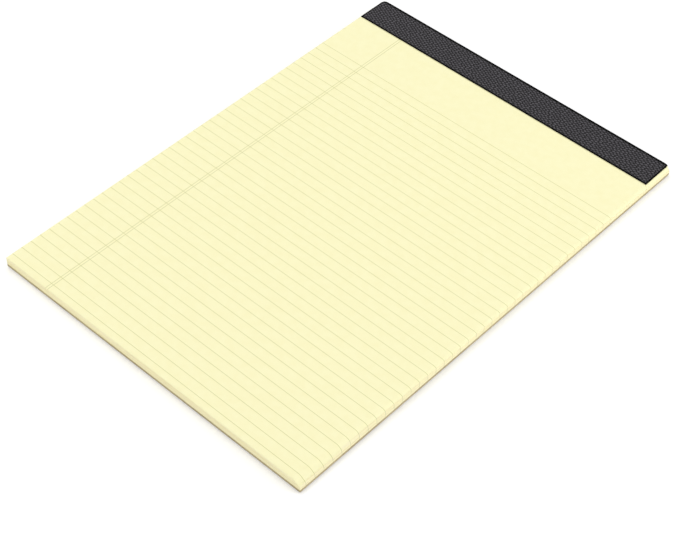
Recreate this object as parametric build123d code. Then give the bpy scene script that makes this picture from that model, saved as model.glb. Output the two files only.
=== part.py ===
"""Legal pad: fifty perforated, ruled sheets on a heavy board, bound at the head.

The pad lies flat, face up. X runs across the width, Y from the foot to the head, Z up.
The origin is the centre of the pad's outline, on the surface that the pad lies on.
"""
from build123d import *
import os

# Sheets
sheet_width = 215.9  # 8 1/2 in
sheet_length = 279.4  # 11 in, from the foot to the perforation
sheet_count = 50
sheet_caliper = 0.10
edge_softness = 0.9  # the cut edges of the top sheets are rolled over a little

# Micro-perforation, a row of slits through all the sheets
slit_pitch = 0.85  # 30 to the inch
slit_length = 0.6
slit_width = 0.15

# Backing board, 60 point chipboard
board_thickness = 1.524

# Binding strip, one piece of embossed leatherette folded over the head
strip_thickness = 0.35
front_flap_depth = 22.2  # 7/8 in, from the outside of the head
back_flap_depth = 26.5
perforation_gap = 0.4  # the perforation runs this far below the front flap
fold_inner_radius = 0.8
strip_left_inset = 0.2  # the strip stops short of the sheets at each side
strip_right_inset = 1.2

# Wire stitches through the stub and the board
stitch_count = 4
stitch_margin = 20.0  # from each side of the sheets to the nearest stitch
crown_length = 12.7  # 1/2 in, between the middles of the two legs
clinch_gap = 2.7  # between the tips of the two clinched ends
wire_width = 0.7  # flat wire, laid with its wide face on the sheets
wire_thickness = 0.5
bend_inner_radius = 0.3
stitch_clearance = 0.05

# Heights
board_bottom = strip_thickness
board_top = board_bottom + board_thickness
sheets_top = board_top + sheet_count * sheet_caliper
pad_height = sheets_top + strip_thickness

# Places along and across the pad
pad_length = sheet_length + perforation_gap + front_flap_depth
foot_y = -pad_length / 2
perforation_y = foot_y + sheet_length
strip_head_y = pad_length / 2
head_y = strip_head_y - strip_thickness
stitch_y = (perforation_y + head_y) / 2
half_width = sheet_width / 2

# Wire of the stitches
crown_z = sheets_top - wire_thickness / 2
clinch_z = board_bottom + wire_thickness / 2
clinch_length = (crown_length - clinch_gap) / 2
bend_radius = bend_inner_radius + wire_thickness / 2


def rectangle(corner_low, corner_high):
    """Face in the plane where X is across and Y is up, between two corners."""
    across = corner_high[0] - corner_low[0]
    up = corner_high[1] - corner_low[1]
    return Pos(*corner_low) * Rectangle(across, up, align=(Align.MIN, Align.MIN))


def extrude_across(profile, low_x, high_x):
    """Extrude a profile, drawn with Y of the pad across and Z up, over the width."""
    side_plane = Plane(origin=(low_x, 0, 0), x_dir=(0, 1, 0), z_dir=(1, 0, 0))
    return extrude(side_plane * profile, amount=high_x - low_x)


def round_corner(profile, corner, radius):
    """Round the one corner of a profile that lies nearest to a point."""
    nearest = profile.vertices().sort_by_distance(Vector(*corner))[0]
    return fillet(nearest, radius)


def stitch_places():
    """X of the middle of each stitch, evenly spaced between the two margins."""
    first = stitch_margin + crown_length / 2 - half_width
    spacing = -2 * first / (stitch_count - 1)
    return [first + number * spacing for number in range(stitch_count)]


def stitch_wire(middle_x, room=0.0):
    """Bent wire: a crown on the sheets, two legs, and ends clinched under the board.

    With some room all round, the same form is the space that the wire needs.
    """
    left_x = middle_x - crown_length / 2
    right_x = middle_x + crown_length / 2
    tip_length = clinch_length + room
    bends = [
        (left_x + tip_length, stitch_y, clinch_z),
        (left_x, stitch_y, clinch_z),
        (left_x, stitch_y, crown_z),
        (right_x, stitch_y, crown_z),
        (right_x, stitch_y, clinch_z),
        (right_x - tip_length, stitch_y, clinch_z),
    ]
    line = FilletPolyline(*bends, radius=bend_radius)
    across_wire = Plane(origin=line @ 0, x_dir=(0, 1, 0), z_dir=line % 0)
    section = across_wire * Rectangle(wire_width + 2 * room, wire_thickness + 2 * room)
    return sweep(section, path=line)


def groove(low_x, high_x, low_z, high_z):
    """Straight-sided groove that the wire is pressed into, open at the surface."""
    width = wire_width + 2 * stitch_clearance
    corner = Pos(low_x, stitch_y - width / 2, low_z)
    return corner * Box(high_x - low_x, width, high_z - low_z, align=(Align.MIN,) * 3)


def stitch_channel(middle_x):
    """Room for one stitch: its holes, and the grooves of its crown and clinched ends."""
    room = stitch_clearance
    outer_reach = crown_length / 2 + wire_thickness / 2 + room
    tip_reach = crown_length / 2 - clinch_length - room
    left_end = middle_x - outer_reach
    right_end = middle_x + outer_reach
    channel = stitch_wire(middle_x, room)
    channel += groove(left_end, right_end, crown_z, sheets_top)
    channel += groove(left_end, middle_x - tip_reach, board_bottom, clinch_z)
    channel += groove(middle_x + tip_reach, right_end, board_bottom, clinch_z)
    return channel


def perforation():
    """The slits that each sheet tears off at, from side to side."""
    slit_count = int(sheet_width / slit_pitch)
    middle_z = (board_top + sheets_top) / 2
    row = Pos(0, perforation_y, middle_z) * GridLocations(slit_pitch, 0, slit_count, 1)
    return row * Box(slit_length, slit_width, sheets_top - board_top)


def sheet_block():
    """The fifty sheets: perforated, with soft top edges and room for the stitches."""
    profile = rectangle((foot_y, board_top), (head_y, sheets_top))
    profile = round_corner(profile, (head_y, sheets_top), fold_inner_radius)
    block = extrude_across(profile, -half_width, half_width)
    top_edges = block.faces().sort_by(Axis.Z)[-1].edges()
    soft_edges = top_edges.filter_by(Axis.Y) + top_edges.sort_by(Axis.Y)[:1]
    block = fillet(soft_edges, edge_softness)
    for middle_x in stitch_places():
        block -= stitch_channel(middle_x)
    return block - perforation()


def backing_board():
    """The heavy board, its lower head edge crushed round inside the fold."""
    profile = rectangle((foot_y, board_bottom), (head_y, board_top))
    profile = round_corner(profile, (head_y, board_bottom), fold_inner_radius)
    board = extrude_across(profile, -half_width, half_width)
    for middle_x in stitch_places():
        board -= stitch_channel(middle_x)
    return board


def binding_strip():
    """The strip: front flap, spine over the head and back flap, folded from one piece."""
    front_edge_y = strip_head_y - front_flap_depth
    back_edge_y = strip_head_y - back_flap_depth
    outer_radius = fold_inner_radius + strip_thickness
    outside = rectangle((back_edge_y, 0), (strip_head_y, pad_height))
    outside = round_corner(outside, (strip_head_y, pad_height), outer_radius)
    outside = round_corner(outside, (strip_head_y, 0), outer_radius)
    inside = rectangle((foot_y, board_bottom), (head_y, sheets_top))
    inside = round_corner(inside, (head_y, sheets_top), fold_inner_radius)
    inside = round_corner(inside, (head_y, board_bottom), fold_inner_radius)
    beyond_front_flap = rectangle((foot_y, board_bottom), (front_edge_y, pad_height))
    profile = outside - inside - beyond_front_flap
    return extrude_across(profile, strip_left_inset - half_width, half_width - strip_right_inset)


def build_parts():
    """Every piece of the pad, by the name of its node."""
    parts = {
        "sheet_block": sheet_block(),
        "backing_board": backing_board(),
        "binding_strip": binding_strip(),
    }
    for number, middle_x in enumerate(stitch_places(), start=1):
        parts[f"wire_stitch_{number}"] = stitch_wire(middle_x)
    return parts


os.makedirs("parts", exist_ok=True)
for name, shape in build_parts().items():
    export_step(shape, f"parts/{name}.step")
    size = shape.bounding_box().size
    print(f"{name}: {size.X:.2f} x {size.Y:.2f} x {size.Z:.2f} mm, {shape.volume:.1f} mm3")
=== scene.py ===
"""Looks of a letter-size legal pad: ruled sheets, chipboard back, folded leatherette strip.

All lengths are in metres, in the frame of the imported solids: X runs across the sheets, Y from
the foot to the bound head, Z up out of the written face.
"""
import logging
import math
from collections.abc import Iterable, Sequence
from dataclasses import dataclass, field
from enum import Enum
from itertools import accumulate

import bpy
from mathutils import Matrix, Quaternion, Vector


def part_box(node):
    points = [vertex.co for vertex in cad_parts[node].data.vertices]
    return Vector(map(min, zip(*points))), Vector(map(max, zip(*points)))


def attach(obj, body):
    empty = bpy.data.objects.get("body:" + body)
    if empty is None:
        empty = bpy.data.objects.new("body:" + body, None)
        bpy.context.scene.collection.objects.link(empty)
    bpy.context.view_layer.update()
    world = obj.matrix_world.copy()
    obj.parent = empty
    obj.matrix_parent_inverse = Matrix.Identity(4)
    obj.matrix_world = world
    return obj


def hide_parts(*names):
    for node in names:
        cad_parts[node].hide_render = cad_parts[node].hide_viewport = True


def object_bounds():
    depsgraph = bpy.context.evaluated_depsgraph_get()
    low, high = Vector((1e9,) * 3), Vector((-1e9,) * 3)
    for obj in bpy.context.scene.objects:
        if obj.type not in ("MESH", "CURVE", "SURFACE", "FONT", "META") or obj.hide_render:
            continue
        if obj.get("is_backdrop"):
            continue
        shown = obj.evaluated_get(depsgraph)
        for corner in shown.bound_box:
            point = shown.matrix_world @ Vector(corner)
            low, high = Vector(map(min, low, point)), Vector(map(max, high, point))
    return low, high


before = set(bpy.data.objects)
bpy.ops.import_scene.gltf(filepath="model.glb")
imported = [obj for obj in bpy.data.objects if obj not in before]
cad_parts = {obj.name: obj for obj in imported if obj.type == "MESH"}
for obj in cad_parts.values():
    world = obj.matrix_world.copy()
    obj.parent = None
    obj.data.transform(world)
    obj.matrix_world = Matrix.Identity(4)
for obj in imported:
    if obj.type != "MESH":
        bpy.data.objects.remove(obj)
cad_low, cad_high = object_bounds()

MM = 0.001
BODY = "root"
SOFTENING = "softening"  # how far use has moved a point of the top sheet
FOLD = "fold"  # how far the fold of the strip has moved it
UNROLLED = "unrolled"  # where a point of the strip lies once laid flat, and how far from a seam
FALLOFF = 2.0  # the power of the height by which wear fades towards the lower sheets

Colour = tuple[float, float, float, float]
Rectangle = tuple[float, float, float, float]
Corner = tuple[float, float]
Inputs = dict[str | int, object]

logger = logging.getLogger("legal_pad")


# Nodes and colours


def linear(code: str) -> Colour:
    """Turn an sRGB hex value into a linear colour.

    Args:
        code: Six hex digits after a hash.

    Returns:
        Red, green, blue and a full alpha.
    """
    shares = [int(code[start:start + 2], 16) / 255 for start in (1, 3, 5)]
    red, green, blue = (s / 12.92 if s <= 0.04045 else ((s + 0.055) / 1.055) ** 2.4 for s in shares)
    return red, green, blue, 1.0


def add_node(
    tree: bpy.types.NodeTree, kind: str, inputs: Inputs | None = None, **settings: object
) -> bpy.types.Node:
    """Add a node with its settings, then link or fill its inputs.

    Args:
        tree: The shader or geometry tree that gets the node.
        kind: Blender's name for the type of node.
        inputs: For each input, by name or number, the socket it reads or the value it holds.
        **settings: The node's own properties.

    Returns:
        The new node.
    """
    node = tree.nodes.new(kind)
    for name, value in settings.items():
        setattr(node, name, value)
    for key, value in (inputs or {}).items():
        if isinstance(value, bpy.types.NodeSocket):
            tree.links.new(value, node.inputs[key])
        else:
            node.inputs[key].default_value = value
    return node


def blotches(
    tree: bpy.types.NodeTree,
    place: bpy.types.NodeSocket,
    size: Sequence[float],
    start: float,
    end: float,
    strength: float = 1.0,
    detail: float = 2.0,
) -> bpy.types.NodeSocket:
    """Scatter soft blotches, streaks or specks.

    Args:
        tree: The tree that holds the place.
        place: The point that is looked up.
        size: The size of a blotch along X, Y and Z.
        start: The height of the noise at which a blotch begins.
        end: The height at which it has its full strength.
        strength: That full strength.
        detail: How many finer layers the noise has.

    Returns:
        The socket that holds the pattern, from 0 to the full strength.
    """
    per_metre = [1 / length for length in size]
    scaled = add_node(tree, "ShaderNodeVectorMath", {0: place, 1: per_metre}, operation="MULTIPLY")
    texture = {"Vector": scaled.outputs[0], "Scale": 1.0, "Detail": detail}
    height = add_node(tree, "ShaderNodeTexNoise", texture).outputs[0]
    ends = {"Value": height, "From Min": start, "From Max": end, "To Max": strength}
    return add_node(tree, "ShaderNodeMapRange", ends, interpolation_type="SMOOTHSTEP").outputs["Result"]


class Recipe:
    """A Geometry Nodes tree with named inputs, run once to give a plain mesh."""

    SOCKETS = {
        int: "NodeSocketInt",
        float: "NodeSocketFloat",
        Vector: "NodeSocketVector",
        bpy.types.Object: "NodeSocketObject",
        bpy.types.Material: "NodeSocketMaterial",
    }

    def __init__(self, name: str, sizes: dict[str, object]) -> None:
        """Start a tree.

        Args:
            name: The name of the tree, and of the piece that it makes.
            sizes: The value of each input, by its label.
        """
        self.name = name
        self.sizes = sizes
        self.tree = bpy.data.node_groups.new(name, "GeometryNodeTree")
        self.tree.interface.new_socket("Geometry", in_out="INPUT", socket_type="NodeSocketGeometry")
        self.tree.interface.new_socket("Geometry", in_out="OUTPUT", socket_type="NodeSocketGeometry")
        for label, value in sizes.items():
            kind = next(socket for held, socket in self.SOCKETS.items() if isinstance(value, held))
            self.tree.interface.new_socket(label, in_out="INPUT", socket_type=kind)
        self.inputs = add_node(self.tree, "NodeGroupInput").outputs

    def run(self, last: bpy.types.NodeSocket, mesh: bpy.types.Mesh | None = None) -> bpy.types.Object:
        """End the tree, run it, and keep its result as a plain mesh.

        Args:
            last: The geometry that the tree ends in.
            mesh: The mesh that the tree starts from, if it reads one.

        Returns:
            The new object, with no modifier left on it.
        """
        add_node(self.tree, "NodeGroupOutput", {"Geometry": last})
        piece = bpy.data.objects.new(self.name, mesh or bpy.data.meshes.new(self.name))
        bpy.context.scene.collection.objects.link(piece)
        modifier = piece.modifiers.new(self.name, "NODES")
        modifier.node_group = self.tree
        for item in self.tree.interface.items_tree:
            if item.in_out == "INPUT" and item.name in self.sizes:
                modifier[item.identifier] = self.sizes[item.name]
        shown = piece.evaluated_get(bpy.context.evaluated_depsgraph_get())
        plain = bpy.data.meshes.new_from_object(shown)
        piece.modifiers.clear()
        piece.data = plain
        plain.name = self.name
        return piece


# Finishes


@dataclass(frozen=True)
class Finish:
    """What every finish has: a name, and a way to fill the shader's sockets."""

    name: str

    def material(self) -> bpy.types.Material:
        """Make the material.

        Returns:
            The material, its shader filled.
        """
        made = bpy.data.materials.new(self.name)
        made.use_nodes = True
        tree = made.node_tree
        tree.nodes.clear()
        place = add_node(tree, "ShaderNodeTexCoord").outputs["Object"]
        shader = add_node(tree, "ShaderNodeBsdfPrincipled", self.sockets(tree, place))
        add_node(tree, "ShaderNodeOutputMaterial", {"Surface": shader.outputs["BSDF"]})
        return made

    def sockets(self, tree: bpy.types.NodeTree, place: bpy.types.NodeSocket) -> Inputs:
        """Work out what the shader's sockets hold or read.

        Args:
            tree: The material's node tree.
            place: The Object coordinates.

        Returns:
            A value or a socket for each input that is set.
        """
        raise NotImplementedError

    @staticmethod
    def coated(
        tree: bpy.types.NodeTree, ground: str, coats: Iterable[tuple[bpy.types.NodeSocket, str]]
    ) -> bpy.types.NodeSocket:
        """Lay colours over one another, each as far as its own pattern reaches.

        Args:
            tree: The material's node tree.
            ground: The sRGB hex value of the lowest colour.
            coats: The pattern, 0 to 1, and the sRGB hex value of each colour above it.

        Returns:
            The socket that holds the colour.
        """
        below: object = linear(ground)
        for cover, code in coats:
            ends = {0: cover, 6: below, 7: linear(code)}
            below = add_node(tree, "ShaderNodeMix", ends, data_type="RGBA").outputs[2]
        return below


@dataclass(frozen=True)
class Ruling:
    """The print on a sheet: narrow rules, and a double margin line at the left."""

    left: float
    foot: float
    pitch: float = 6.35 * MM
    width: float = 0.30 * MM
    first_from_foot: float = 4.2 * MM
    count: int = 39
    margin_from_left: float = 32.6 * MM
    margin_gap: float = 1.5875 * MM
    softness: float = 0.16 * MM  # from full ink to none, as it spreads into the fibres

    def inked(self, tree: bpy.types.NodeTree, distance: bpy.types.NodeSocket) -> bpy.types.NodeSocket:
        """Give how much ink lies at a distance from the middle of a line.

        Args:
            tree: The material's node tree.
            distance: The distance.

        Returns:
            The socket that holds the ink, 0 to 1.
        """
        solid = (self.width - self.softness) / 2
        fade = {"From Min": solid, "From Max": solid + self.softness, "To Min": 1.0, "To Max": 0.0}
        ends = {"Value": distance, **fade}
        return add_node(tree, "ShaderNodeMapRange", ends, interpolation_type="SMOOTHSTEP").outputs["Result"]

    def rules(self, tree: bpy.types.NodeTree, along: bpy.types.NodeSocket) -> bpy.types.NodeSocket:
        """Give how much ink the rules lay down.

        Args:
            tree: The material's node tree.
            along: Y of the point.

        Returns:
            The socket that holds the ink, 0 to 1.
        """
        first = {0: along, 1: self.foot + self.first_from_foot}
        past_first = add_node(tree, "ShaderNodeMath", first, operation="SUBTRACT").outputs[0]
        span = {0: past_first, 1: self.pitch / 2}
        distance = add_node(tree, "ShaderNodeMath", span, operation="PINGPONG").outputs[0]
        limit = {0: past_first, 1: (self.count - 0.5) * self.pitch}
        is_ruled = add_node(tree, "ShaderNodeMath", limit, operation="LESS_THAN").outputs[0]
        both = {0: self.inked(tree, distance), 1: is_ruled}
        return add_node(tree, "ShaderNodeMath", both, operation="MULTIPLY").outputs[0]

    def margin(self, tree: bpy.types.NodeTree, across: bpy.types.NodeSocket) -> bpy.types.NodeSocket:
        """Give how much ink the double margin line lays down.

        Args:
            tree: The material's node tree.
            across: X of the point.

        Returns:
            The socket that holds the ink, 0 to 1.
        """
        middle = {0: across, 1: self.left + self.margin_from_left}
        offset = add_node(tree, "ShaderNodeMath", middle, operation="SUBTRACT").outputs[0]
        aside = add_node(tree, "ShaderNodeMath", {0: offset}, operation="ABSOLUTE").outputs[0]
        line = {0: aside, 1: self.margin_gap / 2}
        past_line = add_node(tree, "ShaderNodeMath", line, operation="SUBTRACT").outputs[0]
        distance = add_node(tree, "ShaderNodeMath", {0: past_line}, operation="ABSOLUTE").outputs[0]
        return self.inked(tree, distance)


@dataclass(frozen=True)
class RuledPaper(Finish):
    """Uncoated canary bond, laid on a wire and printed by offset.

    The eye gets a matt sheet, very slightly cloudy, with thin soft-edged grey lines.
    """

    ruling: Ruling
    bright: str = "#FBF7C9"
    cloudy: str = "#F9F4C3"
    ink: str = "#D0CF96"
    formation: float = 4 * MM  # the clouds of fibre in the sheet
    tooth: float = 0.4 * MM  # real tooth is finer; drawn as coarse as shows
    tooth_depth: float = 0.012 * MM

    def sockets(self, tree: bpy.types.NodeTree, place: bpy.types.NodeSocket) -> Inputs:
        """Tint the fibres, print the lines and roughen the sheet.

        Args:
            tree: The material's node tree.
            place: The Object coordinates.

        Returns:
            The sockets of the printed face.
        """
        at = add_node(tree, "ShaderNodeSeparateXYZ", {0: place}).outputs
        lines = {0: self.ruling.rules(tree, at["Y"]), 1: self.ruling.margin(tree, at["X"])}
        ink = add_node(tree, "ShaderNodeMath", lines, operation="MAXIMUM").outputs[0]
        clouds = blotches(tree, place, [self.formation] * 3, start=0.2, end=0.8, detail=3.0)
        tooth = blotches(tree, place, [self.tooth] * 3, start=0.0, end=1.0, detail=4.0)
        relief = {"Strength": 1.0, "Distance": self.tooth_depth, "Height": tooth}
        return {
            "Base Color": self.coated(tree, self.bright, [(clouds, self.cloudy), (ink, self.ink)]),
            "Roughness": 0.78,
            "IOR": 1.45,
            "Specular IOR Level": 0.3,
            "Normal": add_node(tree, "ShaderNodeBump", relief).outputs["Normal"],
        }


@dataclass(frozen=True)
class CutPaper(Finish):
    """The same bond where the guillotine went through it.

    The eye gets an edge a touch paler than the face, with fine level streaks of painted shade
    between bundles of sheets and a faint tick where each rule ends. One streak in four or five
    sheets is drawn, because a single sheet is too thin to show.
    """

    ruling: Ruling
    pale: str = "#FDF6D0"
    # the streaks' colour: painted shade in the gaps between bundles of sheets
    shaded: str = "#F0E5B4"
    ink: str = "#D9D6B2"
    streak_height: float = 0.45 * MM
    streak_length: float = 45 * MM
    streak_depth: float = 0.03 * MM

    def sockets(self, tree: bpy.types.NodeTree, place: bpy.types.NodeSocket) -> Inputs:
        """Streak the edge with painted shade and end the rules on it.

        Args:
            tree: The material's node tree.
            place: The Object coordinates.

        Returns:
            The sockets of the cut edge.
        """
        along = add_node(tree, "ShaderNodeSeparateXYZ", {0: place}).outputs["Y"]
        grain = [self.streak_length, self.streak_length, self.streak_height]
        streaks = blotches(tree, place, grain, start=0.35, end=0.75, detail=3.0)
        ticks = self.ruling.rules(tree, along)
        relief = {"Strength": 1.0, "Distance": self.streak_depth, "Height": streaks}
        return {
            "Base Color": self.coated(tree, self.pale, [(streaks, self.shaded), (ticks, self.ink)]),
            "Roughness": 0.85,
            "IOR": 1.45,
            "Specular IOR Level": 0.2,
            "Normal": add_node(tree, "ShaderNodeBump", relief).outputs["Normal"],
        }


@dataclass(frozen=True)
class Leatherette(Finish):
    """Black lacquered paper leatherette, embossed between rollers.

    The eye gets a charcoal skin with a low sheen on its pebbles and dark creases round them; the pebbles'
    colour carries painted sheen and the creases' near-black is painted shade.
    Real grain is finer; it is drawn as coarse as the pebbles show from an arm's length away.
    """

    # pebble colour: the skin's charcoal tone lifted by painted sheen; crease colour: painted shade in the
    # creases and along the seams
    pebble_tone_and_sheen: str = "#4E4B50"
    crease_painted_shade: str = "#040404"
    pebble_length: float = 2.85 * MM
    pebble_width: float = 1.29 * MM
    rows_turned: float = 45  # degrees, which staggers the rows of pebbles
    scatter: float = 0.45  # of the pebbles, where 0 is an even lattice
    crease_ends: float = 0.07  # from the middle of a crease, in widths of a pebble
    pebble_tops: float = 0.3  # likewise, where a pebble has its full height
    depth: float = 0.08 * MM
    pebble_roughness: float = 0.42
    crease_roughness: float = 0.75
    seam_width: float = 0.95 * MM  # pressed flat along each cut edge and fold, and painted black there as shade
    seam_fade: float = 0.2 * MM

    def grain(self, tree: bpy.types.NodeTree, flat: bpy.types.NodeSocket) -> bpy.types.NodeSocket:
        """Give the height of the embossed grain, 0 in its creases and 1 on its pebbles.

        Args:
            tree: The shader or geometry tree that holds the place.
            flat: The point that is looked up, on the strip laid flat.

        Returns:
            The socket that holds the height.
        """
        per_metre = (1 / self.pebble_length, 1 / self.pebble_width, 0)
        scaled = add_node(tree, "ShaderNodeVectorMath", {0: flat, 1: per_metre}, operation="MULTIPLY")
        turn = {"Vector": scaled.outputs[0], "Angle": math.radians(self.rows_turned)}
        staggered = add_node(tree, "ShaderNodeVectorRotate", turn, rotation_type="Z_AXIS").outputs[0]
        cells = {"Vector": staggered, "Scale": 1.0, "Randomness": self.scatter}
        shape = {"voronoi_dimensions": "2D", "feature": "DISTANCE_TO_EDGE"}
        to_crease = add_node(tree, "ShaderNodeTexVoronoi", cells, **shape).outputs["Distance"]
        ends = {"Value": to_crease, "From Min": self.crease_ends, "From Max": self.pebble_tops}
        return add_node(tree, "ShaderNodeMapRange", ends, interpolation_type="SMOOTHSTEP").outputs["Result"]

    def open_skin(self, tree: bpy.types.NodeTree, flat: bpy.types.NodeSocket) -> bpy.types.NodeSocket:
        """Give where the grain is left as it was rolled.

        Args:
            tree: The shader or geometry tree that holds the place.
            flat: The point that is looked up, with its distance from a seam as its Z.

        Returns:
            The socket that holds 0 along a seam and 1 away from it.
        """
        from_seam = add_node(tree, "ShaderNodeSeparateXYZ", {0: flat}).outputs["Z"]
        skin_starts = self.seam_width + self.seam_fade
        ends = {"Value": from_seam, "From Min": self.seam_width, "From Max": skin_starts}
        return add_node(tree, "ShaderNodeMapRange", ends, interpolation_type="SMOOTHSTEP").outputs["Result"]

    def sockets(self, tree: bpy.types.NodeTree, place: bpy.types.NodeSocket) -> Inputs:
        """Paint shade into the creases and seams, dull them, and round the pebbles.

        Args:
            tree: The material's node tree.
            place: The Object coordinates, not used here.

        Returns:
            The sockets of the skin.
        """
        flat = add_node(tree, "ShaderNodeAttribute", attribute_name=UNROLLED).outputs["Vector"]
        left = {0: self.grain(tree, flat), 1: self.open_skin(tree, flat)}
        height = add_node(tree, "ShaderNodeMath", left, operation="MULTIPLY").outputs[0]
        dulled = {"Value": height, "To Min": self.crease_roughness, "To Max": self.pebble_roughness}
        relief = {"Strength": 1.0, "Distance": self.depth, "Height": height}
        return {
            # painted shade in the creases and seams, painted sheen on the pebbles
            "Base Color": self.coated(tree, self.crease_painted_shade, [(height, self.pebble_tone_and_sheen)]),
            "Roughness": add_node(tree, "ShaderNodeMapRange", dulled).outputs["Result"],
            "IOR": 1.5,
            "Specular IOR Level": 0.2,
            "Normal": add_node(tree, "ShaderNodeBump", relief).outputs["Normal"],
        }


@dataclass(frozen=True)
class StripEdgeShade(Finish):
    """The same leatherette at its cut edges, folds and back: black paper at the cut edges, and painted
    shade along the folds and the bands beside the edges.

    The eye gets a thin, dead black line of painted shade along each edge of the strip and each fold.
    """

    black: str = "#040404"
    fibre: str = "#121112"
    fibre_length: float = 1.2 * MM
    fibre_height: float = 0.2 * MM

    def sockets(self, tree: bpy.types.NodeTree, place: bpy.types.NodeSocket) -> Inputs:
        """Fleck the black with fibres.

        Args:
            tree: The material's node tree.
            place: The Object coordinates.

        Returns:
            The sockets of the seam.
        """
        size = [self.fibre_length, self.fibre_length, self.fibre_height]
        flecks = blotches(tree, place, size, start=0.5, end=0.7)
        return {
            "Base Color": self.coated(tree, self.black, [(flecks, self.fibre)]),
            "Roughness": 0.95,
            "Specular IOR Level": 0.04,
        }


@dataclass(frozen=True)
class Chipboard(Finish):
    """Unlined chipboard pressed from mixed waste paper.

    The eye gets a warm grey-brown board with darker specks and short pale fibres.
    """

    board: str = "#BDAF8A"
    dull: str = "#AE9F7C"
    speck: str = "#827457"
    fibre: str = "#D1C5A3"
    pulp_size: float = 14 * MM
    speck_size: float = 0.9 * MM
    fibre_length: float = 5 * MM
    fibre_width: float = 0.5 * MM
    tooth: float = 0.5 * MM
    tooth_depth: float = 0.03 * MM

    def sockets(self, tree: bpy.types.NodeTree, place: bpy.types.NodeSocket) -> Inputs:
        """Mix the pulp, scatter the specks and fibres and roughen the board.

        Args:
            tree: The material's node tree.
            place: The Object coordinates.

        Returns:
            The sockets of the board.
        """
        pulp = blotches(tree, place, [self.pulp_size] * 3, start=0.3, end=0.7, detail=4.0)
        speck_size = [self.speck_size] * 3
        specks = blotches(tree, place, speck_size, start=0.64, end=0.74, strength=0.8, detail=1.0)
        fibre_size = [self.fibre_length, self.fibre_width, self.fibre_width]
        fibres = blotches(tree, place, fibre_size, start=0.62, end=0.72, strength=0.6)
        tooth = blotches(tree, place, [self.tooth] * 3, start=0.0, end=1.0, detail=4.0)
        coats = [(pulp, self.dull), (specks, self.speck), (fibres, self.fibre)]
        relief = {"Strength": 1.0, "Distance": self.tooth_depth, "Height": tooth}
        return {
            "Base Color": self.coated(tree, self.board, coats),
            "Roughness": 0.9,
            "Specular IOR Level": 0.2,
            "Normal": add_node(tree, "ShaderNodeBump", relief).outputs["Normal"],
        }


@dataclass(frozen=True)
class StitchWire(Finish):
    """Galvanised mild steel, rolled flat: a soft grey metal with a slight frost."""

    bright: str = "#C4C6C9"
    dull: str = "#9FA2A6"
    frost_size: float = 0.6 * MM
    bright_roughness: float = 0.28
    dull_roughness: float = 0.45

    def sockets(self, tree: bpy.types.NodeTree, place: bpy.types.NodeSocket) -> Inputs:
        """Frost the zinc.

        Args:
            tree: The material's node tree.
            place: The Object coordinates.

        Returns:
            The sockets of the wire.
        """
        frost = blotches(tree, place, [self.frost_size] * 3, start=0.3, end=0.7)
        dulled = {"Value": frost, "To Min": self.bright_roughness, "To Max": self.dull_roughness}
        return {
            "Base Color": self.coated(tree, self.bright, [(frost, self.dull)]),
            "Roughness": add_node(tree, "ShaderNodeMapRange", dulled).outputs["Result"],
            "Metallic": 1.0,
        }


# Meshes


def spread(low: float, high: float, step: float) -> list[float]:
    """Give evenly spaced values from low to high, about a step apart, with both ends."""
    count = max(1, round((high - low) / step))
    return [low + (high - low) * number / count for number in range(count + 1)]


class Slab:
    """A thin closed sheet on a grid, whose cells may be left out right through it."""

    def __init__(self, across: Sequence[float], along: Sequence[float], low: float, high: float) -> None:
        """Start a sheet with no cells.

        Args:
            across: X of each line of the grid.
            along: Y of each line of the grid.
            low: Z of the underside.
            high: Z of the top.
        """
        self.across = across
        self.along = along
        self.heights = (low, high)
        self.numbers: dict[tuple[int, int, int], int] = {}
        self.points: list[Vector] = []

    def corner(self, column: int, row: int, side: int) -> int:
        """Give the number of the point where two lines cross.

        Args:
            column: The number of the line along the sheet.
            row: The number of the line across it.
            side: 0 on the underside, 1 on the top.

        Returns:
            The number of the point, which is made the first time it is asked for.
        """
        key = (column, row, side)
        if key not in self.numbers:
            self.numbers[key] = len(self.points)
            self.points.append(Vector((self.across[column], self.along[row], self.heights[side])))
        return self.numbers[key]

    def mesh(self, name: str, holes: Iterable[Rectangle]) -> bpy.types.Mesh:
        """Fill every cell that lies in no hole, and wall it off from its empty neighbours.

        Args:
            name: The name of the mesh.
            holes: Lowest X, highest X, lowest Y and highest Y of each hole, on grid lines.

        Returns:
            The mesh, its faces pointing outwards.
        """
        middles = [
            [(low + high) / 2 for low, high in zip(lines, lines[1:])] for lines in (self.across, self.along)
        ]
        filled = {
            (column, row)
            for column, x in enumerate(middles[0])
            for row, y in enumerate(middles[1])
            if not any(x0 < x < x1 and y0 < y < y1 for x0, x1, y0, y1 in holes)
        }
        faces = []
        for column, row in sorted(filled):
            ring = [(column, row), (column + 1, row), (column + 1, row + 1), (column, row + 1)]
            faces.append([self.corner(*at, 1) for at in ring])
            faces.append([self.corner(*at, 0) for at in reversed(ring)])
            beside = [(column, row - 1), (column + 1, row), (column, row + 1), (column - 1, row)]
            for neighbour, first, second in zip(beside, ring, ring[1:] + ring[:1]):
                if neighbour not in filled:
                    wall = [(*first, 0), (*second, 0), (*second, 1), (*first, 1)]
                    faces.append([self.corner(*at) for at in wall])
        mesh = bpy.data.meshes.new(name)
        mesh.from_pydata(self.points, [], faces)
        return mesh


def remember(mesh: bpy.types.Mesh, name: str, values: Iterable[Vector]) -> None:
    """Keep a vector for each point of a mesh, under a name."""
    flat = [number for value in values for number in value]
    mesh.attributes.new(name, "FLOAT_VECTOR", "POINT").data.foreach_set("vector", flat)


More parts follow.
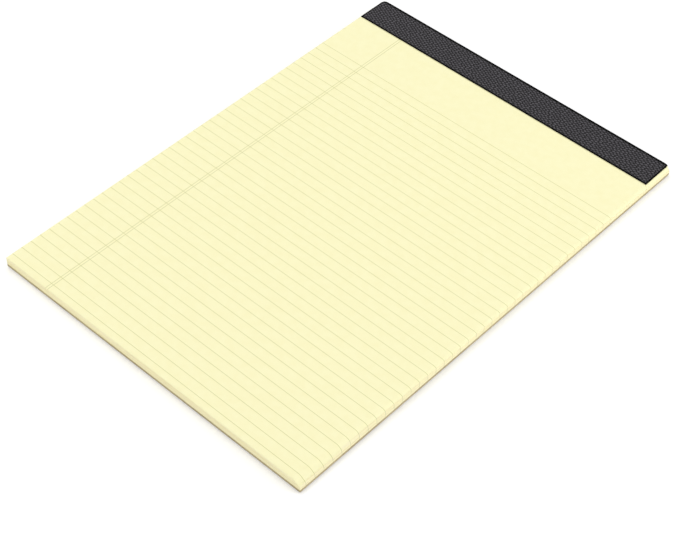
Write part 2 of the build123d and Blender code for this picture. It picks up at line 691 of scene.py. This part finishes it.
@dataclass
class WornTop:
    """How cutting and handling have moved the top of the pad: its edges down, its corners in.

    The right edge is the one that pages are turned by, so it is bent further.
    """

    low: Vector
    high: Vector
    droop: float = 0.3 * MM  # the guillotine drags the edges of the top sheets down
    reach: float = 0.9 * MM
    turned_droop: float = 0.6 * MM  # along the right edge
    turned_reach: float = 1.9 * MM
    thumbed_droop: float = 1.7 * MM  # at the foot of that edge, which leans in too
    thumbed_reach: float = 5.5 * MM
    thumbed_lean: float = 2.0 * MM
    thumbed_length: float = 120 * MM
    corner_radius: float = 4.0 * MM  # of the two head corners, seen from above

    def shift(self, x: float, y: float) -> Vector:
        """Give how far the highest sheet has moved at a point.

        Args:
            x: X of the point.
            y: Y of the point.

        Returns:
            The way it has moved.
        """
        side = self.high.x - abs(x)
        from_foot = y - self.low.y
        thumbed, droop, reach = 0.0, self.droop, self.reach
        if x > 0:
            thumbed = max(0.0, 1 - from_foot / self.thumbed_length) ** 2
            droop = self.turned_droop + (self.thumbed_droop - self.turned_droop) * thumbed
            reach = self.turned_reach + (self.thumbed_reach - self.turned_reach) * thumbed
        near_side = max(0.0, 1 - side / reach)
        near_foot = max(0.0, 1 - from_foot / self.reach)
        down = droop * near_side ** 2 + self.droop * near_foot ** 2 * (1 - near_side ** 2)
        lean = -self.thumbed_lean * thumbed * near_side
        centre_x = math.copysign(self.high.x - self.corner_radius, x)
        centre = Vector((centre_x, self.high.y - self.corner_radius))
        arm = Vector((x, y)) - centre
        is_in_corner = side < self.corner_radius and y > centre.y
        pull = min(0.0, self.corner_radius - arm.length) if is_in_corner else 0.0
        inwards = arm.normalized() * pull
        return Vector((inwards.x + lean, inwards.y, -down))

    def share(self, z: float) -> float:
        """Give how much of that shift a point at some height takes part in."""
        height = (z - self.low.z) / (self.high.z - self.low.z)
        return min(max(height, 0.0), 1.0) ** FALLOFF


# Sub-assemblies


@dataclass
class SheetStack:
    """Fifty sheets on one another, perforated, with a stub that the stitches hold."""

    leaf_length: float = 279.4 * MM  # from the foot to the perforation
    count: int = 50
    air: float = 0.003 * MM  # between one sheet and the next
    slip: float = 0.03 * MM  # how far a sheet may lie out of line
    slit_pitch: float = 0.85 * MM
    slit_length: float = 0.6 * MM
    slit_width: float = 0.15 * MM
    fold_radius: float = 0.8 * MM  # the fold of the strip presses the stub round
    wire_thickness: float = 0.5 * MM
    wire_room: float = 0.05 * MM
    near_edge: tuple[float, ...] = (0.0, 0.25 * MM, 0.55 * MM, 0.9 * MM, 1.3 * MM, 1.9 * MM, 2.8 * MM)
    further_in: tuple[float, ...] = (4.0 * MM, 5.5 * MM)
    wide_step: float = 50 * MM  # between the lines of the grid across the open sheet
    long_step: float = 24 * MM  # the same along it
    pitches_untied: int = 4  # from each side, where the edge is dragged down
    face_rise: float = 0.5  # the normal of a face rises more than this, that of a cut edge less
    seed: int = 7
    low: Vector = field(init=False)
    high: Vector = field(init=False)
    caliper: float = field(init=False)
    perforation: float = field(init=False)
    worn: WornTop = field(init=False)

    def __post_init__(self) -> None:
        """Take the stack's own box from the frame, and what follows from it."""
        self.low, self.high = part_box("sheet_block")
        self.caliper = (self.high.z - self.low.z) / self.count
        self.perforation = self.low.y + self.leaf_length
        self.worn = WornTop(self.low, self.high)

    def stitch_holes(self, is_grooved: bool) -> list[Rectangle]:
        """Give the holes in the stub of one sheet.

        Args:
            is_grooved: Whether the sheet lies beside the crown of each stitch, which is sunk
                into the top sheets, or lower down, where only the two legs go through.

        Returns:
            Lowest X, highest X, lowest Y and highest Y of each hole.
        """
        room = Vector((self.wire_room, self.wire_room, 0))
        leg = self.wire_thickness + 2 * self.wire_room
        holes = []
        for name in sorted(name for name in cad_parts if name.startswith("wire_stitch")):
            low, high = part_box(name)
            (left, front, _), (right, back, _) = low - room, high + room
            spans = [(left, right)] if is_grooved else [(left, left + leg), (right - leg, right)]
            holes += [(start, end, front, back) for start, end in spans]
        return holes

    def mould(
        self, name: str, across: Iterable[float], along: Iterable[float], holes: Sequence[Rectangle] = ()
    ) -> bpy.types.Object:
        """Make one flat part of a sheet that knows how the highest one is worn.

        Args:
            name: The name of the part.
            across: X of each line of its grid.
            along: Y of each line of its grid.
            holes: Its holes, on lines of the grid.

        Returns:
            The part, in no collection.
        """
        slab = Slab(sorted(across), sorted(along), self.air, self.caliper)
        mesh = slab.mesh(name, holes)
        remember(mesh, SOFTENING, [self.worn.shift(x, y) for x, y, _ in slab.points])
        reach = self.near_edge[-1]
        starts = self.high.y - reach
        pressed = [max(0.0, (y - starts) / reach) * self.fold_radius for _, y, _ in slab.points]
        remember(mesh, FOLD, [Vector((0, -back, 0)) for back in pressed])
        return bpy.data.objects.new(name, mesh)

    def leaf(self) -> bpy.types.Object:
        """Make the part of a sheet that is written on and torn off.

        Returns:
            The part, in no collection.
        """
        near = (*self.near_edge, *self.further_in)
        half = self.high.x - self.slip
        foot = self.low.y + self.slip
        sides = [sign * (half - step) for step in near for sign in (-1, 1)]
        across = {*sides, *spread(near[-1] - half, half - near[-1], self.wide_step)}
        rows = spread(foot + near[-1], self.perforation - self.slit_width / 2, self.long_step)
        return self.mould("leaf", across, {*rows, *(foot + step for step in near)})

    def stub(self, name: str, is_grooved: bool) -> bpy.types.Object:
        """Make the part of a sheet that stays under the strip.

        Args:
            name: The name of the part.
            is_grooved: Whether the crowns of the stitches lie in it.

        Returns:
            The part, in no collection.
        """
        near = self.near_edge
        half = self.high.x - self.slip
        head = self.high.y - self.slip
        holes = self.stitch_holes(is_grooved)
        across = {sign * (half - step) for step in near for sign in (-1, 1)}
        across |= {x for hole in holes for x in hole[:2]}
        along = {self.perforation + self.slit_width / 2, *holes[0][2:], *(head - step for step in near)}
        return self.mould(name, across, along, holes)

    def sizes(self) -> dict[str, object]:
        """Give the sizes that the tree takes in.

        Returns:
            The value of each input, by its label.
        """
        slip = Vector((self.slip, self.slip, 0))
        first_tie = self.pitches_untied * self.slit_pitch - self.high.x
        middle = (self.low.z + self.high.z) / 2
        tie_width = self.slit_width + 2 * self.slip
        tie_height = self.high.z - self.low.z - 2 * self.air
        return {
            "Sheets": self.count,
            "First grooved sheet": self.count - round(self.wire_thickness / self.caliper),
            "Lowest sheet": Vector((0, 0, self.low.z)),
            "Next sheet": Vector((0, 0, self.caliper)),
            "Least slip": -slip,
            "Most slip": slip,
            "Seed": self.seed,
            "Ties": round(-2 * first_tie / self.slit_pitch) + 1,
            "First tie": Vector((first_tie, self.perforation, middle)),
            "Next tie": Vector((self.slit_pitch, 0, 0)),
            "Tie size": Vector((self.slit_pitch - self.slit_length, tie_width, tie_height)),
            "Top": self.high.z,
            "Softening starts at": self.low.z,
            "Fold starts at": self.high.z - self.fold_radius,
            "Rise of a face": self.face_rise,
        }

    def build(self, face: bpy.types.Material, edge: bpy.types.Material) -> bpy.types.Object:
        """Lay the sheets on one another and join them along the perforation.

        Args:
            face: The finish of both faces of a sheet.
            edge: The finish of its cut edges.

        Returns:
            The stack, as one mesh.
        """
        moulds = {
            "Leaf": self.leaf(),
            "Pierced stub": self.stub("pierced_stub", False),
            "Grooved stub": self.stub("grooved_stub", True),
        }
        recipe = Recipe("sheets", {**moulds, **self.sizes(), "Face": face, "Edge": edge})
        joined = add_node(recipe.tree, "GeometryNodeJoinGeometry")
        for part in (self.ties(recipe), *self.stacked(recipe)):
            recipe.tree.links.new(part, joined.inputs[0])
        realized = add_node(recipe.tree, "GeometryNodeRealizeInstances", {0: joined.outputs[0]})
        stack = recipe.run(self.dressed(recipe, self.worn_down(recipe, realized.outputs[0])))
        for mould in moulds.values():
            bpy.data.objects.remove(mould)
        return stack

    def stacked(self, recipe: Recipe) -> list[bpy.types.NodeSocket]:
        """Lay the sheets on one another, each a hair out of line.

        Args:
            recipe: The tree, with its named sizes.

        Returns:
            The leaves, the pierced stubs and the grooved stubs, each as instances.
        """
        tree, size = recipe.tree, recipe.inputs
        line = {
            "Count": size["Sheets"],
            "Start Location": size["Lowest sheet"],
            "Offset": size["Next sheet"],
        }
        places = add_node(tree, "GeometryNodeMeshLine", line).outputs[0]
        spans = {0: size["Least slip"], 1: size["Most slip"], "Seed": size["Seed"]}
        slip = add_node(tree, "FunctionNodeRandomValue", spans, data_type="FLOAT_VECTOR").outputs[0]
        slipped = add_node(tree, "GeometryNodeSetPosition", {"Geometry": places, "Offset": slip}).outputs[0]
        number = add_node(tree, "GeometryNodeInputIndex").outputs[0]
        order = {2: number, 3: size["First grooved sheet"]}
        lower = add_node(tree, "FunctionNodeCompare", order, data_type="INT", operation="LESS_THAN")
        upper = add_node(tree, "FunctionNodeCompare", order, data_type="INT", operation="GREATER_EQUAL")
        chosen = {"Leaf": True, "Pierced stub": lower.outputs[0], "Grooved stub": upper.outputs[0]}
        laid = []
        for label, selection in chosen.items():
            mould = add_node(tree, "GeometryNodeObjectInfo", {"Object": size[label]}).outputs["Geometry"]
            inputs = {"Points": slipped, "Selection": selection, "Instance": mould}
            laid.append(add_node(tree, "GeometryNodeInstanceOnPoints", inputs).outputs[0])
        return laid

    def ties(self, recipe: Recipe) -> bpy.types.NodeSocket:
        """Bridge the perforation with the paper left between its slits.

        Args:
            recipe: The tree, with its named sizes.

        Returns:
            The ties, as instances.
        """
        tree, size = recipe.tree, recipe.inputs
        line = {"Count": size["Ties"], "Start Location": size["First tie"], "Offset": size["Next tie"]}
        places = add_node(tree, "GeometryNodeMeshLine", line).outputs[0]
        tie = add_node(tree, "GeometryNodeMeshCube", {"Size": size["Tie size"]}).outputs[0]
        row = {"Points": places, "Instance": tie}
        return add_node(tree, "GeometryNodeInstanceOnPoints", row).outputs[0]

    def worn_down(self, recipe: Recipe, sheets: bpy.types.NodeSocket) -> bpy.types.NodeSocket:
        """Move each sheet as the highest one has moved, less and less with depth.

        Args:
            recipe: The tree, with its named sizes.
            sheets: The flat sheets.

        Returns:
            The worn sheets.
        """
        tree, size = recipe.tree, recipe.inputs
        position = add_node(tree, "GeometryNodeInputPosition").outputs[0]
        height = add_node(tree, "ShaderNodeSeparateXYZ", {0: position}).outputs["Z"]
        for name, label in ((SOFTENING, "Softening starts at"), (FOLD, "Fold starts at")):
            span = {"Value": height, "From Min": size[label], "From Max": size["Top"]}
            risen = add_node(tree, "ShaderNodeMapRange", span).outputs["Result"]
            faded = {0: risen, 1: FALLOFF}
            share = add_node(tree, "ShaderNodeMath", faded, operation="POWER").outputs[0]
            kept = {"Name": name}
            full = add_node(tree, "GeometryNodeInputNamedAttribute", kept, data_type="FLOAT_VECTOR")
            part = {0: full.outputs["Attribute"], "Scale": share}
            shift = add_node(tree, "ShaderNodeVectorMath", part, operation="SCALE").outputs[0]
            moved = {"Geometry": sheets, "Offset": shift}
            sheets = add_node(tree, "GeometryNodeSetPosition", moved).outputs[0]
        return sheets

    def dressed(self, recipe: Recipe, sheets: bpy.types.NodeSocket) -> bpy.types.NodeSocket:
        """Give the cut edges and the faces their finish.

        Args:
            recipe: The tree, with its named sizes and finishes.
            sheets: The worn sheets.

        Returns:
            The finished sheets.
        """
        tree, size = recipe.tree, recipe.inputs
        normal = add_node(tree, "GeometryNodeInputNormal").outputs[0]
        up = add_node(tree, "ShaderNodeSeparateXYZ", {0: normal}).outputs["Z"]
        rise = add_node(tree, "ShaderNodeMath", {0: up}, operation="ABSOLUTE").outputs[0]
        ends = {0: rise, 1: size["Rise of a face"]}
        is_face = add_node(tree, "FunctionNodeCompare", ends, operation="GREATER_THAN")
        edged = {"Geometry": sheets, "Material": size["Edge"]}
        sheets = add_node(tree, "GeometryNodeSetMaterial", edged).outputs[0]
        faced = {"Geometry": sheets, "Selection": is_face.outputs[0], "Material": size["Face"]}
        return add_node(tree, "GeometryNodeSetMaterial", faced).outputs[0]


@dataclass
class BindingStrip:
    """One piece of leatherette, folded over the head: front flap, spine and back flap."""

    finish: Leatherette
    front_flap: float = 22.2 * MM
    fold_radius: float = 0.8 * MM  # inside the fold
    fold_steps: int = 8
    mesh_step: float = 0.4 * MM  # fine enough for several points on each pebble
    low: Vector = field(init=False)
    high: Vector = field(init=False)
    thickness: float = field(init=False)
    across: list[float] = field(init=False)
    worn: WornTop = field(init=False)

    def __post_init__(self) -> None:
        """Take the strip's own box from the frame, and what follows from it."""
        self.low, self.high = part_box("binding_strip")
        self.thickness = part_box("backing_board")[0].z - self.low.z
        self.across = spread(self.low.x, self.high.x, self.mesh_step)
        self.worn = WornTop(*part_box("sheet_block"))

    def section(self, inset: float) -> list[Corner]:
        """Give the section of the folded strip, from the front flap's edge to the back flap's.

        Args:
            inset: How far under the outer skin the line runs.

        Returns:
            Y and Z of each corner of the line, with the folds as arcs.
        """
        radius = self.fold_radius + self.thickness - inset
        centre_y = self.high.y - inset - radius
        line = [(self.high.y - self.front_flap, self.high.z - inset)]
        for centre_z, start in ((self.high.z - inset - radius, 90), (self.low.z + inset + radius, 0)):
            for turned in spread(0, 90, 90 / self.fold_steps):
                angle = math.radians(start - turned)
                line.append((centre_y + radius * math.cos(angle), centre_z + radius * math.sin(angle)))
        return [*line, (self.low.y, self.low.z + inset)]

    def from_seam(self, x: float, travelled: float, length: float) -> float:
        """Give how far a point of the strip laid flat is from its nearest cut edge or fold.

        Args:
            x: X of the point.
            travelled: The way to it from the front flap's edge, over the skin.
            length: The whole of that way, to the back flap's edge.

        Returns:
            The distance.
        """
        radius = self.fold_radius + self.thickness
        spine = self.high.z - self.low.z - 2 * radius
        first_fold = self.front_flap - radius
        second_fold = first_fold + math.pi * radius + spine
        to_folds = (abs(travelled - fold) for fold in (first_fold, second_fold))
        return max(0.0, min(x - self.low.x, self.high.x - x, travelled, length - travelled, *to_folds))

    def placed(self, line: Iterable[Corner]) -> list[Vector]:
        """Run a line of the section across the pad, and wear it as the sheets under it are.

        Args:
            line: Y and Z of each point of the line.

        Returns:
            The points, row by row from the left.
        """
        points = []
        for y, z in line:
            share = self.worn.share(z)
            points += [Vector((x, y, z)) + self.worn.shift(x, y) * share for x in self.across]
        return points

    def build(self, skin: bpy.types.Material, seam: bpy.types.Material) -> bpy.types.Object:
        """Fold the strip, then emboss its outer skin.

        Args:
            skin: The finish of its outer face.
            seam: The finish of its edges, its folds and its back, black as painted shade along the folds
                and edges.

        Returns:
            The strip, as one closed mesh.
        """
        sizes = {"Emboss depth": self.finish.depth, "Seam width": self.finish.seam_width}
        recipe = Recipe("folded_strip", {**sizes, "Skin": skin, "Seam": seam})
        tree, size = recipe.tree, recipe.inputs
        kept = {"Name": UNROLLED}
        attribute = add_node(tree, "GeometryNodeInputNamedAttribute", kept, data_type="FLOAT_VECTOR")
        flat = attribute.outputs["Attribute"]
        sunk = {0: self.finish.grain(tree, flat), 1: 1.0}
        depth = add_node(tree, "ShaderNodeMath", sunk, operation="SUBTRACT").outputs[0]
        for factor in (self.finish.open_skin(tree, flat), size["Emboss depth"]):
            depth = add_node(tree, "ShaderNodeMath", {0: depth, 1: factor}, operation="MULTIPLY").outputs[0]
        normal = add_node(tree, "GeometryNodeInputNormal").outputs[0]
        inwards = {0: normal, "Scale": depth}
        offset = add_node(tree, "ShaderNodeVectorMath", inwards, operation="SCALE").outputs[0]
        from_seam = add_node(tree, "ShaderNodeSeparateXYZ", {0: flat}).outputs["Z"]
        ends = {0: from_seam, 1: size["Seam width"]}
        is_skin = add_node(tree, "FunctionNodeCompare", ends, operation="GREATER_THAN").outputs[0]
        moved = {"Geometry": size["Geometry"], "Selection": is_skin, "Offset": offset}
        pressed = add_node(tree, "GeometryNodeSetPosition", moved).outputs[0]
        last = add_node(tree, "GeometryNodeRealizeInstances", {"Geometry": pressed}).outputs[0]
        # the seam finish goes on first: black cut edges and back, with painted shade along the folds and
        # edges
        for selection, label in ((True, "Seam"), (is_skin, "Skin")):
            dressed = {"Geometry": last, "Selection": selection, "Material": size[label]}
            last = add_node(tree, "GeometryNodeSetMaterial", dressed).outputs[0]
        return recipe.run(last, self.folded())

    def refined(self, corners: Sequence[Corner]) -> tuple[list[Corner], list[int]]:
        """Add points to a line of the section, so that its skin can carry the grain.

        Args:
            corners: Y and Z of each corner of the line.

        Returns:
            Y and Z of each point of the finer line, and the number of each corner in it.
        """
        line, stops = [corners[0]], [0]
        for first, second in zip(corners, corners[1:]):
            for share in spread(0.0, 1.0, min(1.0, self.mesh_step / math.dist(first, second)))[1:]:
                line.append(tuple(a + (b - a) * share for a, b in zip(first, second)))
            stops.append(len(line) - 1)
        return line, stops

    def joined(self, stops: Sequence[int], inner_rows: int) -> tuple[list[list[int]], list[list[int]]]:
        """Join the rows of points of the outer and the inner skin into a closed strip.

        Args:
            stops: The number of the outer skin's row at each corner of the section.
            inner_rows: How many rows the inner skin has, one at each corner.

        Returns:
            The faces of the two skins, and those of the narrow sides between them.
        """
        wide = len(self.across)
        rows = stops[-1] + 1
        last = rows + inner_rows - 1

        def quad(first: int, second: int, column: int) -> list[int]:
            """Give the face between two rows of points, from a column to the next."""
            start, back = first * wide + column, second * wide + column
            return [start, start + 1, back + 1, back]

        columns = range(wide - 1)
        skins = [quad(row, row + 1, column) for row in range(rows - 1) for column in columns]
        skins += [quad(row + 1, row, column) for row in range(rows, last) for column in columns]
        ends = ((rows, 0), (rows - 1, last))
        sides = [quad(below, above, column) for column in columns for below, above in ends]
        for number, (first, second) in enumerate(zip(stops, stops[1:])):
            ring = (*range(first, second + 1), rows + number + 1, rows + number)
            sides.append([row * wide for row in ring])
            sides.append([row * wide + wide - 1 for row in reversed(ring)])
        return skins, sides

    def folded(self) -> bpy.types.Mesh:
        """Make the closed strip, whose outer skin is fine and knows where it lies once laid flat.

        Returns:
            The mesh, its faces pointing outwards.
        """
        line, stops = self.refined(self.section(0.0))
        inner = self.section(self.thickness)
        run = [0.0, *accumulate(math.dist(first, second) for first, second in zip(line, line[1:]))]
        flat = [
            Vector((x, travelled, self.from_seam(x, travelled, run[-1])))
            for travelled in run
            for x in self.across
        ]
        flat += [Vector()] * (len(self.across) * len(inner))
        skins, sides = self.joined(stops, len(inner))
        mesh = bpy.data.meshes.new("binding_strip_laid_flat")
        mesh.from_pydata(self.placed(line + inner), [], skins + sides)
        remember(mesh, UNROLLED, flat)
        mesh.polygons.foreach_set("use_smooth", [True] * len(skins) + [False] * len(sides))
        return mesh


@dataclass
class PlainNodes:
    """Pieces whose solids already have their true shape, and only need their finish."""

    finishes: dict[str, bpy.types.Material]

    def dress(self) -> None:
        """Give each node its material."""
        for name, material in self.finishes.items():
            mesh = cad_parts[name].data
            mesh.materials.clear()
            mesh.materials.append(material)
            logger.info("%s dressed in %s", name, material.name)


# Studio


class Lamp(Enum):
    """The softboxes: where each stands, how wide it is and its power, in metres and watts."""

    KEY = ((-0.95, 0.3, 1.85), 1.2, 12.0)
    FILL = ((1.1, 0.7, 0.45), 0.8, 7.8)
    FRONT = ((-0.45, -1.1, 0.5), 0.8, 3.0)


@dataclass
class Studio:
    """A pale floor with no horizon, three softboxes and the camera."""

    floor_size: float = 12.0
    floor: str = "#F4F4F4"
    lift: float = 0.2  # what the eye sees of the floor is raised to white, its shadow stays
    far_lift: float = 0.5  # the same beyond the reach of the softboxes
    fades_from: float = 0.4  # where their light begins to fade on the floor
    fades_to: float = 2.0  # and where it ends
    ambient: float = 0.62
    stands_at: tuple[float, float, float] = (447.04 * MM, -501.45 * MM, 679.80 * MM)
    looks_at: tuple[float, float, float] = (31.59 * MM, -40.91 * MM, 6.87 * MM)
    roll: float = 1.017  # degrees
    lens: float = 92.1
    nearest_shown: float = 0.05

    def build(self) -> None:
        """Set up the whole studio."""
        self.lay_floor()
        self.light_world()
        for lamp in Lamp:
            self.hang(lamp)
        self.place_camera()
        bpy.context.scene.view_settings.view_transform = "Standard"

    def lay_floor(self) -> None:
        """Lay the pale floor just under the pad."""
        half = self.floor_size / 2
        corners = [(-half, -half), (half, -half), (half, half), (-half, half)]
        mesh = bpy.data.meshes.new("floor")
        mesh.from_pydata([(x, y, cad_low.z) for x, y in corners], [], [(0, 1, 2, 3)])
        floor = bpy.data.objects.new("floor", mesh)
        bpy.context.scene.collection.objects.link(floor)
        mesh.materials.append(self.floor_paint())
        floor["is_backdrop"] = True

    def floor_paint(self) -> bpy.types.Material:
        """Make the floor's matt white paint, which the camera sees as white but for its shadow.

        Returns:
            The material.
        """
        material = bpy.data.materials.new("matt_white_paint")
        material.use_nodes = True
        tree = material.node_tree
        tree.nodes.clear()
        matt = add_node(tree, "ShaderNodeBsdfDiffuse", {"Color": linear(self.floor)}).outputs[0]
        place = add_node(tree, "ShaderNodeTexCoord").outputs["Object"]
        away = add_node(tree, "ShaderNodeVectorMath", {0: place}, operation="LENGTH").outputs["Value"]
        fade = {"Value": away, "From Min": self.fades_from, "From Max": self.fades_to}
        rise = {"To Min": self.lift, "To Max": self.far_lift}
        lift = add_node(tree, "ShaderNodeMapRange", {**fade, **rise}).outputs["Result"]
        seen = add_node(tree, "ShaderNodeLightPath").outputs["Is Camera Ray"]
        raised = add_node(tree, "ShaderNodeMath", {0: seen, 1: lift}, operation="MULTIPLY").outputs[0]
        glow = add_node(tree, "ShaderNodeEmission", {"Strength": raised}).outputs[0]
        both = add_node(tree, "ShaderNodeAddShader", {0: matt, 1: glow}).outputs[0]
        add_node(tree, "ShaderNodeOutputMaterial", {"Surface": both})
        return material

    def light_world(self) -> None:
        """Fill the room with plain white light, and show it as white."""
        world = bpy.data.worlds.new("white_room")
        world.use_nodes = True
        tree = world.node_tree
        tree.nodes.clear()
        path = add_node(tree, "ShaderNodeLightPath").outputs
        mirrored = {0: path["Is Glossy Ray"], 1: path["Is Transmission Ray"]}
        shown = add_node(tree, "ShaderNodeMath", mirrored, operation="MAXIMUM").outputs[0]
        seen = {0: shown, 1: path["Is Camera Ray"]}
        shown = add_node(tree, "ShaderNodeMath", seen, operation="MAXIMUM").outputs[0]
        span = {"Value": shown, "To Min": self.ambient, "To Max": 1.0}
        strength = add_node(tree, "ShaderNodeMapRange", span).outputs["Result"]
        white = add_node(tree, "ShaderNodeBackground", {"Color": linear("#FFFFFF"), "Strength": strength})
        add_node(tree, "ShaderNodeOutputWorld", {"Surface": white.outputs[0]})
        bpy.context.scene.world = world

    def hang(self, lamp: Lamp) -> None:
        """Hang one softbox, facing the pad.

        Args:
            lamp: Which of them.
        """
        place, width, power = lamp.value
        light = bpy.data.lights.new(lamp.name.lower(), "AREA")
        light.shape = "SQUARE"
        light.size = width
        light.energy = power
        holder = bpy.data.objects.new(lamp.name.lower(), light)
        holder.location = place
        holder.rotation_mode = "QUATERNION"
        holder.rotation_quaternion = (-Vector(place)).to_track_quat("-Z", "Y")
        bpy.context.scene.collection.objects.link(holder)

    def place_camera(self) -> None:
        """Stand the camera where the photograph was taken from."""
        camera = bpy.data.objects.new("camera", bpy.data.cameras.new("camera"))
        camera.data.lens = self.lens
        camera.data.clip_start = self.nearest_shown
        camera.location = self.stands_at
        aim = (Vector(self.looks_at) - Vector(self.stands_at)).to_track_quat("-Z", "Y")
        camera.rotation_mode = "QUATERNION"
        camera.rotation_quaternion = aim @ Quaternion((0, 0, 1), math.radians(self.roll))
        bpy.context.scene.collection.objects.link(camera)
        bpy.context.scene.camera = camera


def seat(piece: bpy.types.Object, node: str) -> None:
    """Let a piece stand for a node and ride with the pad.

    Args:
        piece: The finished piece.
        node: The node that it stands for.
    """
    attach(piece, BODY)
    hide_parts(node)
    logger.info("%s stands for %s, %d faces", piece.name, node, len(piece.data.polygons))


def main() -> None:
    """Build and dress the pad, then the studio round it."""
    logging.basicConfig(level=logging.INFO, format="%(name)s: %(message)s")
    low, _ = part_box("sheet_block")
    ruling = Ruling(left=low.x, foot=low.y)
    ruled = RuledPaper("canary_bond_printed", ruling).material()
    cut = CutPaper("canary_bond_guillotined", ruling).material()
    leatherette = Leatherette("black_leatherette_embossed")
    # black cut edges, with painted shade along the folds and edges of the strip
    seam = StripEdgeShade("black_leatherette_pressed").material()
    wire = StitchWire("galvanised_steel_rolled").material()

    seat(SheetStack().build(ruled, cut), "sheet_block")
    seat(BindingStrip(leatherette).build(leatherette.material(), seam), "binding_strip")
    finishes = {"backing_board": Chipboard("chipboard_pressed").material()}
    finishes |= {name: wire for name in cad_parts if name.startswith("wire_stitch")}
    PlainNodes(finishes).dress()
    Studio().build()
    low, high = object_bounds()


if __name__ == "__main__":
    main()
